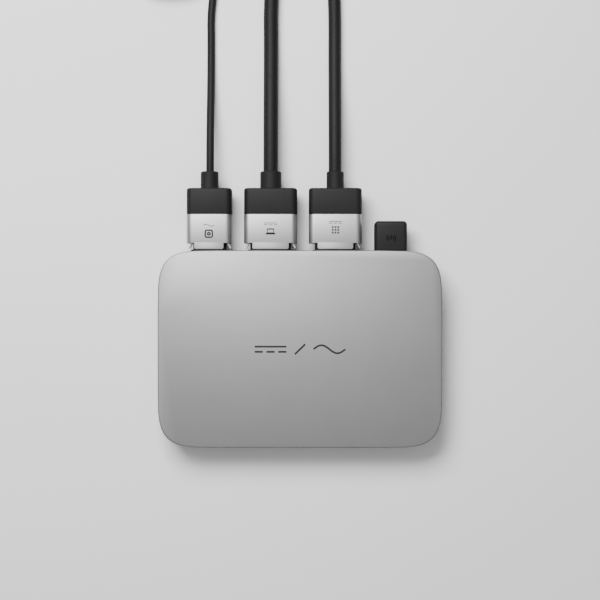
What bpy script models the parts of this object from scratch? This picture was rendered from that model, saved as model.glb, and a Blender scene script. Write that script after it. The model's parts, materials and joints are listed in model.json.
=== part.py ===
"""Micro inverter lying on its back, with three latched plugs, their cords and an aerial cap.

Metres, +Z up. The origin is the middle of the housing's back, on the surface it lies on.
+X runs along the housing's long side and +Y points out of the side that holds the sockets.
"""

import math
from collections import namedtuple

import bmesh
import bpy
from mathutils import Matrix, Vector

GAP = 0.0003  # left between pieces that touch

# Housing
WIDTH = 0.242
HEIGHT = 0.168
THICKNESS = 0.033
CORNER_REACH = 0.051
CORNER_POWER = 4.0
CORNER_STEPS = 10
EDGE_ROUND = 0.0012
SIDE_WALL = 0.0035
TOP_WALL = 0.003

# Heat sink on the back
PLATE_BOTTOM = 0.004
PLATE_TOP = 0.007
FIN_PITCH = 0.012
FIN_COUNT = 17
FIN_THICK = 0.0026
FIN_LENGTH = 0.150
LAND_SIZE = (0.062, 0.044)
BOSS_SPACING = (0.170, 0.110)
BOSS_DIAMETER = 0.016
BOSS_HOLE = 0.0042
COVER_BOTTOM = PLATE_TOP + GAP
SEAL_HEIGHT = 0.0008

# Case screws and the posts that they hold
SCREW_PLACES = (
    (0.108, 0.045),
    (-0.108, 0.045),
    (-0.108, -0.045),
    (0.108, -0.045),
    (0.0055, 0.074),
    (0.006, -0.074),
)
SCREW_HEAD = 0.006
SCREW_SHANK = 0.003
SCREW_LENGTH = 0.012
HEAD_THICK = 0.0022
POST_DIAMETER = 0.0088

# Plugs: middle in X, width of the shell, of the nose and of the tongue, gland and cord
FACE_Y = HEIGHT / 2
PLUG_Z = 0.0185
Plug = namedtuple("Plug", "x shell nose tongue gland cord pins")
PLUGS = {
    "ac": Plug(x=-0.0772, shell=0.0381, nose=0.0278, tongue=0.0238, gland=0.0146, cord=0.0068, pins=3),
    "battery": Plug(x=-0.0251, shell=0.0444, nose=0.0346, tongue=0.0310, gland=0.0175, cord=0.0127, pins=2),
    "solar": Plug(x=0.0301, shell=0.0444, nose=0.0343, tongue=0.0303, gland=0.0141, cord=0.0111, pins=4),
}
SHELL_HEIGHT = 0.023
SHELL_WALL = 0.0016
SHELL_ROUND = 0.003
SHOULDER_Y = 0.0903
SPLIT_Y = 0.1150
REAR_Y = 0.1366
GLAND_END_Y = 0.1509
NOSE_HEIGHT = 0.016
NOSE_TIP_Y = 0.070
NOSE_WALL = 0.0022
TONGUE_TIP_Y = 0.0851
TONGUE_THICK = 0.0017
SOCKET_WALL = 0.0017
SOCKET_BACK_Y = 0.062
SOCKET_PROUD = 0.0008
PIN_DIAMETER = 0.003
PIN_TIP_Y = 0.079

# Latch springs beside each nose
LATCH_THICK = 0.0006
LATCH_HEIGHT = 0.009
LATCH_OFF_NOSE = 0.0010
LATCH_FLARE = 0.0023
LATCH_PIVOT_Y = 0.0960
LATCH_TAIL_Y = 0.0985
LATCH_BEND_Y = 0.0899
LATCH_TIP_Y = 0.0856

# Aerial cap, status light and pairing button on the socket side
CAP_X = 0.0771
CAP_WIDTH = 0.0276
CAP_TIP_Y = 0.1088
CAP_HEIGHT = 0.020
CAP_ROUND = 0.0032
CAP_WALL = 0.0018
SMALL_X = 0.0578
LIGHT_Z = 0.0245
BUTTON_Z = 0.0140
LIGHT_DIAMETER = 0.003
BUTTON_DIAMETER = 0.006

# Board and what stands on it
BOARD_Z = 0.0115
BOARD_THICK = 0.0016
BOARD_X = (-0.100, 0.100)
BOARD_Y = (-0.067, 0.058)

# Coils: middle, mean radius, turns side by side and on each other
Coil = namedtuple("Coil", "x y radius across layers hand")
COILS = {
    "ac": Coil(x=-0.1124, y=0.3580, radius=0.0360, across=4, layers=3, hand=1),
    "battery": Coil(x=-0.0500, y=0.4860, radius=0.0635, across=2, layers=1, hand=1),
    "solar": Coil(x=0.08665, y=0.3765, radius=0.0570, across=2, layers=1, hand=-1),
}

# Each cord's way from its gland, down to the ground and up to its coil
ROUTES = {
    "ac": [
        (-0.0772, 0.1512, 0.0185),
        (-0.0772, 0.1700, 0.0182),
        (-0.0772, 0.1960, 0.0140),
        (-0.0772, 0.2220, 0.0077),
        (-0.0772, 0.2480, 0.0038),
        (-0.0772, 0.2720, 0.0035),
        (-0.0772, 0.2870, 0.0035),
        (-0.0755, 0.3060, 0.0035),
        (-0.0710, 0.3250, 0.0035),
    ],
    "battery": [
        (-0.0251, 0.1512, 0.0185),
        (-0.0251, 0.1720, 0.0183),
        (-0.0251, 0.2030, 0.0153),
        (-0.0251, 0.2350, 0.0097),
        (-0.0251, 0.2660, 0.0067),
        (-0.0251, 0.2950, 0.0064),
        (-0.0230, 0.3250, 0.0064),
        (-0.0162, 0.3560, 0.0064),
        (-0.0043, 0.3870, 0.0064),
        (0.0059, 0.4100, 0.0064),
        (0.01306, 0.4325, 0.0064),
    ],
    "solar": [
        (0.0301, 0.1512, 0.0185),
        (0.0301, 0.1710, 0.0183),
        (0.0301, 0.2000, 0.0148),
        (0.0301, 0.2290, 0.0089),
        (0.0301, 0.2580, 0.0059),
        (0.0301, 0.2850, 0.0056),
        (0.0292, 0.3120, 0.0056),
        (0.0269, 0.3335, 0.0056),
    ],
}

# The last stretch of each cord, lying on its coil: degrees round it, radius and height
TOPS = {
    "ac": [(-60, 0.0262, 0.0172), (-36, 0.0276, 0.0200), (-11, 0.0330, 0.0230), (15, 0.0390, 0.0240)]
    + [(40, 0.0420, 0.0243), (63, 0.0402, 0.0254)],
    "battery": [(-12, 0.0575, 0.0075), (12, 0.0600, 0.0130), (36, 0.0630, 0.0180)]
    + [(angle, 0.0635, 0.0188) for angle in range(60, 241, 20)],
    "solar": [(-58, 0.0515, 0.0060), (-40, 0.0530, 0.0095), (-22, 0.0555, 0.0140), (-4, 0.0569, 0.0163)],
}

# The two leads behind the solar cord's splitter, also on the coil
LEADS = {
    1: [(25.7, 0.0706, 0.0171), (30, 0.0724, 0.0168), (42, 0.0722, 0.0158), (55, 0.0704, 0.0168)]
    + [(67, 0.0692, 0.0188), (74.5, 0.0664, 0.0191)],
    2: [(31.3, 0.0590, 0.0171), (36.1, 0.0615, 0.0168), (47, 0.0600, 0.0158), (58, 0.0545, 0.0172)]
    + [(68, 0.0503, 0.0188), (74.5, 0.0488, 0.0191)],
}
LEAD_DIAMETER = 0.006
COIL_SIDES = 30
ROUTE_STEP = 2.6  # diameters between points of a cord

GREY_METAL = ((0.50, 0.50, 0.50), 0.42, 1.0)
BRIGHT_METAL = ((0.62, 0.62, 0.61), 0.28, 1.0)
BLACK_PLASTIC = ((0.035, 0.035, 0.036), 0.55, 0.0)
BLACK_RUBBER = ((0.028, 0.028, 0.028), 0.7, 0.0)
COPPER_ALLOY = ((0.75, 0.60, 0.32), 0.3, 1.0)
BOARD_GREEN = ((0.03, 0.16, 0.07), 0.5, 0.0)
FERRITE = ((0.05, 0.05, 0.055), 0.6, 0.0)
COMPONENT_BLUE = ((0.05, 0.10, 0.25), 0.45, 0.0)
COMPONENT_BLACK = ((0.03, 0.03, 0.03), 0.5, 0.0)
PAD_GREY = ((0.30, 0.32, 0.34), 0.8, 0.0)
CLEAR_LIGHT = ((0.75, 0.80, 0.78), 0.2, 0.0)


# ---------------------------------------------------------------- outlines and solids


def clear_scene():
    for old in list(bpy.data.objects):
        bpy.data.objects.remove(old, do_unlink=True)


def finish(name, colour, roughness, metallic):
    """One Principled material for a sub-part."""
    made = bpy.data.materials.new(name)
    made.use_nodes = True
    shader = made.node_tree.nodes["Principled BSDF"]
    shader.inputs["Base Color"].default_value = (*colour, 1.0)
    shader.inputs["Roughness"].default_value = roughness
    shader.inputs["Metallic"].default_value = metallic
    return made


def housing_outline(inset=0.0):
    """The housing's outline seen from the front, anticlockwise, drawn in by inset."""
    reach = CORNER_REACH - inset
    middle_x = WIDTH / 2 - CORNER_REACH
    middle_y = HEIGHT / 2 - CORNER_REACH
    quarter = []
    for step in range(CORNER_STEPS + 1):
        turn = math.pi / 2 * step / CORNER_STEPS
        along = reach * math.cos(turn) ** (2 / CORNER_POWER)
        up = reach * math.sin(turn) ** (2 / CORNER_POWER)
        quarter.append((along, up))
    points = [(middle_x + a, middle_y + u) for a, u in quarter]
    points += [(-middle_x - a, middle_y + u) for a, u in reversed(quarter)]
    points += [(-middle_x - a, -middle_y - u) for a, u in quarter]
    points += [(middle_x + a, -middle_y - u) for a, u in reversed(quarter)]
    return points


def rounded_rectangle(width, height, radius, steps=3):
    """Outline of a rectangle with round corners about the origin, anticlockwise."""
    points = []
    for corner, (side_x, side_y) in enumerate(((1, 1), (-1, 1), (-1, -1), (1, -1))):
        for step in range(steps + 1):
            turn = math.pi / 2 * (corner + step / steps)
            across = side_x * (width / 2 - radius) + radius * math.cos(turn)
            up = side_y * (height / 2 - radius) + radius * math.sin(turn)
            points.append((across, up))
    return points


def flat_ring(outline, z, x=0.0, y=0.0):
    return [Vector((x + a, y + b, z)) for a, b in outline]


def upright_ring(outline, y, x, z=PLUG_Z):
    return [Vector((x + a, y, z + b)) for a, b in outline]


def lofted(rings, around=False):
    """A closed solid through rings of equally many points, with end caps unless it goes around."""
    mesh = bmesh.new()
    loops = [[mesh.verts.new(point) for point in ring] for ring in rings]
    pairs = list(zip(loops, loops[1:]))
    if around:
        pairs.append((loops[-1], loops[0]))
    for low, high in pairs:
        for i in range(len(low)):
            j = (i + 1) % len(low)
            mesh.faces.new((low[i], low[j], high[j], high[i]))
    if not around:
        mesh.faces.new(list(reversed(loops[0])))
        mesh.faces.new(loops[-1])
    bmesh.ops.recalc_face_normals(mesh, faces=mesh.faces)
    return mesh


def block(low, high):
    """A box between two corners."""
    outline = [(low[0], low[1]), (high[0], low[1]), (high[0], high[1]), (low[0], high[1])]
    return lofted([flat_ring(outline, low[2]), flat_ring(outline, high[2])])


def rounded_block(low, high, radius, edge=0.0):
    """A box with round upright corners and, with an edge, a chamfer round its top."""
    width = high[0] - low[0]
    depth = high[1] - low[1]
    x = (low[0] + high[0]) / 2
    y = (low[1] + high[1]) / 2
    body = rounded_rectangle(width, depth, radius)
    rings = [flat_ring(body, low[2], x, y)]
    rings.append(flat_ring(body, high[2] - edge, x, y))
    if edge:
        top = rounded_rectangle(width - 2 * edge, depth - 2 * edge, radius)
        rings.append(flat_ring(top, high[2], x, y))
    return lofted(rings)


def turned(profile, sides, place):
    """A round solid about local Z through (height, radius) steps, closed by its end discs."""
    rings = []
    for height, radius in profile:
        ring = []
        for side in range(sides):
            turn = 2 * math.pi * side / sides
            ring.append(place @ Vector((radius * math.cos(turn), radius * math.sin(turn), height)))
        rings.append(ring)
    return lofted(rings)


def aimed(x, y, z, direction="z"):
    """A place whose local Z points along +Z, or along +Y for direction y."""
    at = Matrix.Translation((x, y, z))
    if direction == "y":
        return at @ Matrix.Rotation(-math.pi / 2, 4, "X")
    return at


def merged(*meshes):
    """Several loose shapes as one mesh, for a cutter or for a union that follows."""
    whole = bmesh.new()
    for part in meshes:
        held = bpy.data.meshes.new("held")
        part.to_mesh(held)
        part.free()
        whole.from_mesh(held)
        bpy.data.meshes.remove(held)
    return whole


# ---------------------------------------------------------------- objects


def place_object(name, mesh, origin, parent):
    """An object whose mesh, given in the world, hangs from origin."""
    bmesh.ops.translate(mesh, verts=mesh.verts, vec=-Vector(origin))
    data = bpy.data.meshes.new(name)
    mesh.to_mesh(data)
    mesh.free()
    made = bpy.data.objects.new(name, data)
    bpy.context.collection.objects.link(made)
    made.location = origin
    if parent:
        made.parent = parent
        made.location = Vector(origin) - parent.location
    return made


def node(name, mesh, look, parent=None, origin=(0.0, 0.0, 0.0), smooth=True):
    """One sub-part of the object."""
    made = place_object(name, mesh, origin, parent)
    made.data.materials.append(finish(name, *look))
    if smooth:
        made.data.shade_smooth()
        made.data.set_sharp_from_angle(angle=math.radians(35))
    return made


def boolean(target, mesh, operation):
    """Cuts mesh from target, or joins it on, with a hidden tool object."""
    label = f"{target.name}_{operation.lower()}_{len(target.modifiers)}"
    tool = place_object(label, mesh, (0.0, 0.0, 0.0), None)
    tool.hide_render = True
    tool.display_type = "WIRE"
    step = target.modifiers.new(operation.title(), "BOOLEAN")
    step.operation = operation
    step.solver = "EXACT"
    step.object = tool


def slide_guide(name, x):
    """The empty that a plug and everything on it hangs from, on the plug's slide axis."""
    guide = bpy.data.objects.new(name, None)
    bpy.context.collection.objects.link(guide)
    guide.location = (x, FACE_Y, PLUG_Z)
    return guide


# ---------------------------------------------------------------- housing


def make_cover():
    """The front cover: a deep shell with screw posts, and openings for the sockets."""
    inside = housing_outline(SIDE_WALL)
    outside = housing_outline()
    rings = [
        flat_ring(inside, THICKNESS - TOP_WALL),
        flat_ring(inside, COVER_BOTTOM),
        flat_ring(outside, COVER_BOTTOM),
    ]
    for step in range(4):
        turn = math.pi / 2 * step / 3
        inset = EDGE_ROUND * (1 - math.cos(turn))
        rings.append(flat_ring(housing_outline(inset), THICKNESS - EDGE_ROUND * (1 - math.sin(turn))))
    cover = node("front_cover", lofted(rings), GREY_METAL)
    post = [(COVER_BOTTOM, POST_DIAMETER / 2), (THICKNESS - TOP_WALL / 2, POST_DIAMETER / 2)]
    boolean(cover, merged(*[turned(post, 12, aimed(x, y, 0)) for x, y in SCREW_PLACES]), "UNION")
    hole = [(COVER_BOTTOM - 0.001, SCREW_SHANK / 2 + GAP), (COVER_BOTTOM + 0.012, SCREW_SHANK / 2 + GAP)]
    tools = [turned(hole, 12, aimed(x, y, 0)) for x, y in SCREW_PLACES]
    for plug in PLUGS.values():
        opening = rounded_rectangle(*[size + 2 * GAP for size in socket_size(plug)], 0.003)
        ends = (FACE_Y - 0.006, FACE_Y + 0.002)
        tools.append(lofted([upright_ring(opening, y, plug.x) for y in ends]))
    slot = rounded_rectangle(CAP_WIDTH - 0.008, 0.0045, 0.001)
    tools.append(lofted([upright_ring(slot, y, CAP_X) for y in (FACE_Y - 0.008, FACE_Y + 0.002)]))
    for z, diameter in ((LIGHT_Z, LIGHT_DIAMETER), (BUTTON_Z, BUTTON_DIAMETER)):
        bore = [(-0.008, diameter / 2 + GAP), (0.002, diameter / 2 + GAP)]
        tools.append(turned(bore, 20, aimed(SMALL_X, FACE_Y, z, "y")))
    boolean(cover, merged(*tools), "DIFFERENCE")


def make_heatsink():
    """The back plate with its fins, the land that it rests on and the four bracket bosses."""
    plate = lofted([flat_ring(housing_outline(), PLATE_BOTTOM), flat_ring(housing_outline(), PLATE_TOP)])
    sink = node("rear_heatsink", plate, GREY_METAL)
    buried = PLATE_BOTTOM + 0.001
    fins = []
    for index in range(FIN_COUNT):
        x = (index - (FIN_COUNT - 1) / 2) * FIN_PITCH
        half = FIN_LENGTH / 2
        crossing = abs(x) < LAND_SIZE[0] / 2
        spans = ((-half, -LAND_SIZE[1] / 2 - 0.004), (LAND_SIZE[1] / 2 + 0.004, half))
        for low_y, high_y in spans if crossing else ((-half, half),):
            fins.append(block((x - FIN_THICK / 2, low_y, 0), (x + FIN_THICK / 2, high_y, buried)))
    half_x, half_y = LAND_SIZE[0] / 2, LAND_SIZE[1] / 2
    fins.append(rounded_block((-half_x, -half_y, 0), (half_x, half_y, buried), 0.004))
    boolean(sink, merged(*fins), "UNION")
    boss = [(0, BOSS_DIAMETER / 2), (buried, BOSS_DIAMETER / 2)]
    places = [(sx * BOSS_SPACING[0] / 2, sy * BOSS_SPACING[1] / 2) for sx in (1, -1) for sy in (1, -1)]
    boolean(sink, merged(*[turned(boss, 16, aimed(x, y, 0)) for x, y in places]), "UNION")
    blind = [(-0.001, BOSS_HOLE / 2), (0.0055, BOSS_HOLE / 2)]
    tools = [turned(blind, 12, aimed(x, y, 0)) for x, y in places]
    for x, y in SCREW_PLACES:
        well = [
            (PLATE_BOTTOM - 0.001, SCREW_HEAD / 2 + GAP),
            (PLATE_BOTTOM + HEAD_THICK, SCREW_HEAD / 2 + GAP),
            (PLATE_BOTTOM + HEAD_THICK, SCREW_SHANK / 2 + GAP),
            (PLATE_TOP + 0.001, SCREW_SHANK / 2 + GAP),
        ]
        tools.append(turned(well, 12, aimed(x, y, 0)))
    boolean(sink, merged(*tools), "DIFFERENCE")


def make_fasteners_and_seal():
    """The rubber ring between the two halves and the screws that clamp it."""
    outer = housing_outline(SIDE_WALL + GAP)
    inner = housing_outline(SIDE_WALL + 0.0016)
    low, high = COVER_BOTTOM, COVER_BOTTOM + SEAL_HEIGHT
    rings = [flat_ring(outer, low), flat_ring(outer, high), flat_ring(inner, high), flat_ring(inner, low)]
    node("cover_gasket", lofted(rings, around=True), BLACK_RUBBER)
    seat = PLATE_BOTTOM + HEAD_THICK - GAP
    for index, (x, y) in enumerate(SCREW_PLACES, 1):
        profile = [
            (seat - HEAD_THICK + 0.0004, SCREW_HEAD / 2 - 0.0004),
            (seat - HEAD_THICK + 0.0008, SCREW_HEAD / 2),
            (seat, SCREW_HEAD / 2),
            (seat, SCREW_SHANK / 2),
            (seat + SCREW_LENGTH - 0.001, SCREW_SHANK / 2),
            (seat + SCREW_LENGTH, SCREW_SHANK / 2 - 0.0007),
        ]
        screw = node(f"case_screw_{index}", turned(profile, 12, aimed(x, y, 0)), BRIGHT_METAL)
        drive = [(seat - HEAD_THICK - 0.001, 0.0015), (seat - HEAD_THICK + 0.0014, 0.0015)]
        boolean(screw, turned(drive, 6, aimed(x, y, 0)), "DIFFERENCE")


# ---------------------------------------------------------------- sockets


def socket_size(plug):
    grown = 2 * (SOCKET_WALL + GAP)
    return plug.nose + grown, NOSE_HEIGHT + grown


def pin_places(plug):
    pitch = (plug.nose - 0.010) / (plug.pins - 1)
    return [plug.x + (index - (plug.pins - 1) / 2) * pitch for index in range(plug.pins)]


def make_socket(name, plug):
    """The plastic cup that a plug's nose goes into, and the pins on their carrier inside it."""
    outer = rounded_rectangle(*socket_size(plug), 0.003)
    inner = rounded_rectangle(plug.nose + 2 * GAP, NOSE_HEIGHT + 2 * GAP, 0.002)
    floor_y = SOCKET_BACK_Y + 0.002
    mouth_y = FACE_Y + SOCKET_PROUD
    rings = [
        upright_ring(outer, SOCKET_BACK_Y, plug.x),
        upright_ring(outer, mouth_y, plug.x),
        upright_ring(inner, mouth_y, plug.x),
        upright_ring(inner, floor_y, plug.x),
    ]
    node(f"{name}_socket", lofted(rings), BLACK_PLASTIC)
    low = (plug.x - plug.nose / 2 + 0.001, floor_y + GAP, PLUG_Z - 0.004)
    high = (plug.x + plug.nose / 2 - 0.001, floor_y + 0.0035, PLUG_Z + 0.004)
    contacts = node(f"{name}_contacts", block(low, high), COPPER_ALLOY)
    pin = [
        (floor_y + 0.002, PIN_DIAMETER / 2),
        (PIN_TIP_Y - 0.001, PIN_DIAMETER / 2),
        (PIN_TIP_Y, PIN_DIAMETER / 2 - 0.0008),
    ]
    pins = [turned(pin, 8, aimed(x, 0, PLUG_Z, "y")) for x in pin_places(plug)]
    boolean(contacts, merged(*pins), "UNION")


# ---------------------------------------------------------------- plugs


def make_shell(name, plug, guide):
    """The metal sleeve of a plug: open at the rear, with a front wall and a tongue on each broad side."""
    outer = rounded_rectangle(plug.shell, SHELL_HEIGHT, SHELL_ROUND)
    tip = rounded_rectangle(plug.shell - 0.0008, SHELL_HEIGHT - 0.0008, SHELL_ROUND)
    inner_size = (plug.shell - 2 * SHELL_WALL, SHELL_HEIGHT - 2 * SHELL_WALL)
    inner = rounded_rectangle(*inner_size, SHELL_ROUND - SHELL_WALL)
    rings = [
        upright_ring(inner, SHOULDER_Y + SHELL_WALL, plug.x),
        upright_ring(inner, SPLIT_Y, plug.x),
        upright_ring(outer, SPLIT_Y, plug.x),
        upright_ring(outer, SHOULDER_Y + 0.0004, plug.x),
        upright_ring(tip, SHOULDER_Y, plug.x),
    ]
    shell = node(f"{name}_plug_shell", lofted(rings), GREY_METAL, guide, guide.location)
    tongues = []
    for side in (1, -1):
        outside = PLUG_Z + side * (SHELL_HEIGHT / 2 - 0.0002)
        inside = outside - side * TONGUE_THICK
        low = (plug.x - plug.tongue / 2, TONGUE_TIP_Y, min(inside, outside))
        high = (plug.x + plug.tongue / 2, SHOULDER_Y + 0.001, max(inside, outside))
        tongues.append(block(low, high))
    boolean(shell, merged(*tongues), "UNION")
    mouth = rounded_rectangle(plug.nose + 2 * GAP, NOSE_HEIGHT + 2 * GAP, 0.002)
    ends = (SHOULDER_Y - 0.001, SHOULDER_Y + SHELL_WALL + 0.001)
    boolean(shell, lofted([upright_ring(mouth, y, plug.x) for y in ends]), "DIFFERENCE")
    side_x = plug.nose / 2 + LATCH_OFF_NOSE + LATCH_THICK + 0.0011
    slot = block(
        (plug.x - side_x, ends[0], PLUG_Z - LATCH_HEIGHT / 2 - 0.0005),
        (plug.x + side_x, ends[1], PLUG_Z + LATCH_HEIGHT / 2 + 0.0005),
    )
    boolean(shell, slot, "DIFFERENCE")


def make_nose(name, plug, guide):
    """The hollow plastic nose that goes into the socket."""
    outer = rounded_rectangle(plug.nose, NOSE_HEIGHT, 0.002)
    hollow = rounded_rectangle(plug.nose - 2 * NOSE_WALL, NOSE_HEIGHT - 2 * NOSE_WALL, 0.001)
    rear_y = SHOULDER_Y + 0.0022
    rings = [
        upright_ring(hollow, SHOULDER_Y - 0.004, plug.x),
        upright_ring(hollow, NOSE_TIP_Y, plug.x),
        upright_ring(outer, NOSE_TIP_Y, plug.x),
        upright_ring(outer, rear_y, plug.x),
    ]
    node(f"{name}_plug_nose", lofted(rings), BLACK_PLASTIC, guide, guide.location)


def make_overmould(name, plug, guide):
    """The moulded rear half of a plug, whose narrower front is inside the metal shell."""
    outer = rounded_rectangle(plug.shell, SHELL_HEIGHT, SHELL_ROUND)
    rear = rounded_rectangle(plug.shell - 0.002, SHELL_HEIGHT - 0.002, SHELL_ROUND - 0.0005)
    inset = SHELL_WALL + GAP
    core_size = (plug.shell - 2 * inset - 0.004, SHELL_HEIGHT - 2 * inset)
    core = rounded_rectangle(*core_size, 0.001)
    rings = [
        upright_ring(core, LATCH_TAIL_Y + 0.0015, plug.x),
        upright_ring(core, SPLIT_Y + GAP, plug.x),
        upright_ring(outer, SPLIT_Y + GAP, plug.x),
        upright_ring(outer, REAR_Y - 0.0015, plug.x),
        upright_ring(rear, REAR_Y, plug.x),
    ]
    node(f"{name}_plug_overmould", lofted(rings), BLACK_PLASTIC, guide, guide.location)
    radius = plug.gland / 2
    profile = [
        (REAR_Y + GAP, radius),
        (GLAND_END_Y - 0.0018, radius),
        (GLAND_END_Y - 0.0007, radius - 0.0005),
        (GLAND_END_Y, radius - 0.0016),
    ]
    gland = turned(profile, 20, aimed(plug.x, 0, PLUG_Z, "y"))
    node(f"{name}_gland", gland, BLACK_RUBBER, guide, guide.location)


def make_latch(name, plug, guide, side):
    """A spring strip beside the nose; it turns about the upright line where the shell holds it."""
    line = [
        (plug.nose / 2 + LATCH_OFF_NOSE, LATCH_TAIL_Y),
        (plug.nose / 2 + LATCH_OFF_NOSE, LATCH_BEND_Y),
        (plug.nose / 2 + LATCH_OFF_NOSE + LATCH_FLARE, LATCH_TIP_Y),
    ]
    back = [(x + LATCH_THICK, y + 0.0001) for x, y in reversed(line)]
    outline = [(plug.x + side * x, y) for x, y in line + back]
    low, high = PLUG_Z - LATCH_HEIGHT / 2, PLUG_Z + LATCH_HEIGHT / 2
    strip = lofted([flat_ring(outline, low), flat_ring(outline, high)])
    pivot = (plug.x + side * (plug.nose / 2 + LATCH_OFF_NOSE + LATCH_THICK / 2), LATCH_PIVOT_Y, PLUG_Z)
    word = "right" if side > 0 else "left"
    node(f"{name}_latch_{word}", strip, BRIGHT_METAL, guide, pivot, smooth=False)


# ---------------------------------------------------------------- aerial, light and button


def make_small_side_parts():
    """The aerial cap with its board, the status light and the pairing button."""
    half_height = CAP_HEIGHT / 2
    outer = [(FACE_Y + GAP, CAP_WIDTH / 2), (CAP_TIP_Y - CAP_ROUND, CAP_WIDTH / 2)]
    for step in range(1, 5):
        turn = math.pi / 2 * step / 4
        inset = CAP_ROUND * (1 - math.cos(turn))
        outer.append((CAP_TIP_Y - CAP_ROUND * (1 - math.sin(turn)), CAP_WIDTH / 2 - inset))
    inside_y = CAP_TIP_Y - CAP_WALL
    hollow = (CAP_WIDTH - 2 * CAP_WALL, CAP_HEIGHT - 2 * CAP_WALL)
    rings = [
        upright_ring(rounded_rectangle(hollow[0] - 0.002, hollow[1] - 0.002, 0.001), inside_y, CAP_X),
        upright_ring(rounded_rectangle(*hollow, 0.0015), FACE_Y + GAP, CAP_X),
    ]
    for y, half in outer:
        inset = CAP_WIDTH / 2 - half
        ring = rounded_rectangle(2 * half, 2 * (half_height - inset), max(CAP_ROUND - inset, 0.0004))
        rings.append(upright_ring(ring, y, CAP_X))
    node("antenna_cap", lofted(rings), BLACK_PLASTIC)
    strip = block((CAP_X - 0.009, 0.070, PLUG_Z - 0.0006), (CAP_X + 0.009, 0.104, PLUG_Z + 0.0006))
    node("antenna_board", strip, BOARD_GREEN, smooth=False)
    lens = [(-0.007, LIGHT_DIAMETER / 2), (-0.0004, LIGHT_DIAMETER / 2), (0.0, LIGHT_DIAMETER / 2 - 0.0004)]
    node("status_light", turned(lens, 16, aimed(SMALL_X, FACE_Y, LIGHT_Z, "y")), CLEAR_LIGHT)
    radius = BUTTON_DIAMETER / 2
    knob = [(-0.0065, radius), (-0.0005, radius), (0.0, radius - 0.0006)]
    place = aimed(SMALL_X, FACE_Y, BUTTON_Z, "y")
    node("pairing_button", turned(knob, 20, place), BLACK_RUBBER, origin=(SMALL_X, FACE_Y, BUTTON_Z))


# ---------------------------------------------------------------- inside the housing


def make_inside():
    """The board on its thermal pad, and the parts that change and filter the current."""
    pad = rounded_block((-0.092, -0.060, PLATE_TOP + GAP), (0.092, 0.050, BOARD_Z - GAP), 0.004)
    node("thermal_pad", pad, PAD_GREY)
    low = (BOARD_X[0], BOARD_Y[0], BOARD_Z)
    high = (BOARD_X[1], BOARD_Y[1], BOARD_Z + BOARD_THICK)
    node("main_board", rounded_block(low, high, 0.006), BOARD_GREEN)
    top = BOARD_Z + BOARD_THICK + GAP
    for index, x in enumerate((-0.028, 0.024), 1):
        core = rounded_block((x - 0.019, -0.020, top), (x + 0.019, 0.018, top + 0.0135), 0.002, 0.0008)
        transformer = node(f"transformer_{index}", core, FERRITE)
        bobbin = rounded_block((x - 0.013, -0.026, top + 0.002), (x + 0.013, 0.024, top + 0.0115), 0.004)
        boolean(transformer, bobbin, "UNION")
    film = rounded_block((-0.090, -0.056, top), (-0.058, -0.036, top + 0.0125), 0.001, 0.0006)
    node("bus_capacitor", film, COMPONENT_BLUE)
    choke_ring = []
    section = rounded_rectangle(0.008, 0.011, 0.002, 1)
    for side in range(18):
        turn = 2 * math.pi * side / 18
        out = Vector((math.cos(turn), math.sin(turn), 0))
        middle = Vector((-0.072, 0.004, top + 0.0058)) + out * 0.012
        choke_ring.append([middle + out * a + Vector((0, 0, b)) for a, b in section])
    node("output_choke", lofted(choke_ring, around=True), COPPER_ALLOY)
    relay = rounded_block((-0.092, 0.030, top), (-0.062, 0.046, top + 0.013), 0.001, 0.0005)
    node("grid_relay", relay, COMPONENT_BLACK)
    bar = rounded_block((-0.040, -0.050, top), (0.060, -0.042, top + 0.012), 0.001, 0.0005)
    transistors = node("transistor_bar", bar, GREY_METAL)
    cases = []
    for index in range(5):
        x = -0.030 + 0.020 * index
        cases.append(block((x - 0.0055, -0.0425, top), (x + 0.0055, -0.0375, top + 0.010)))
    boolean(transistors, merged(*cases), "UNION")
    radio = rounded_block((0.066, 0.026, top), (0.090, 0.052, top + 0.003), 0.001, 0.0004)
    node("wireless_module", radio, BRIGHT_METAL)


# ---------------------------------------------------------------- cords


def smooth_route(points, step):
    """Points a step apart on a smooth curve through the route's own points."""
    ends = [points[0] * 2 - points[1]] + points + [points[-1] * 2 - points[-2]]
    fine = []
    for i in range(1, len(ends) - 2):
        before, start, stop, after = ends[i - 1 : i + 3]
        for part in range(24):
            t = part / 24
            bend = 2 * start + (stop - before) * t
            bend += (2 * before - 5 * start + 4 * stop - after) * t**2
            bend += (3 * start - before - 3 * stop + after) * t**3
            fine.append(bend / 2)
    fine.append(points[-1])
    total = sum((b - a).length for a, b in zip(fine, fine[1:]))
    count = max(2, round(total / step))
    made = [fine[0]]
    gone = 0.0
    for a, b in zip(fine, fine[1:]):
        gone += (b - a).length
        if gone >= total * len(made) / count and len(made) < count:
            made.append(b)
    return made + [fine[-1]]


def make_tube(name, points, diameter, guide):
    """A cord's free stretch as a tube with closed ends."""
    data = bpy.data.curves.new(name, "CURVE")
    data.dimensions = "3D"
    data.bevel_depth = diameter / 2
    data.bevel_resolution = 2
    data.use_fill_caps = True
    data.resolution_u = 1
    data.render_resolution_u = 0
    line = data.splines.new("POLY")
    path = smooth_route([Vector(point) for point in points], diameter * ROUTE_STEP)
    line.points.add(len(path) - 1)
    for held, point in zip(line.points, path):
        held.co = (*(point - guide.location), 1.0)
    made = bpy.data.objects.new(name, data)
    bpy.context.collection.objects.link(made)
    made.parent = guide
    data.materials.append(finish(name, *BLACK_RUBBER))


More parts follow.
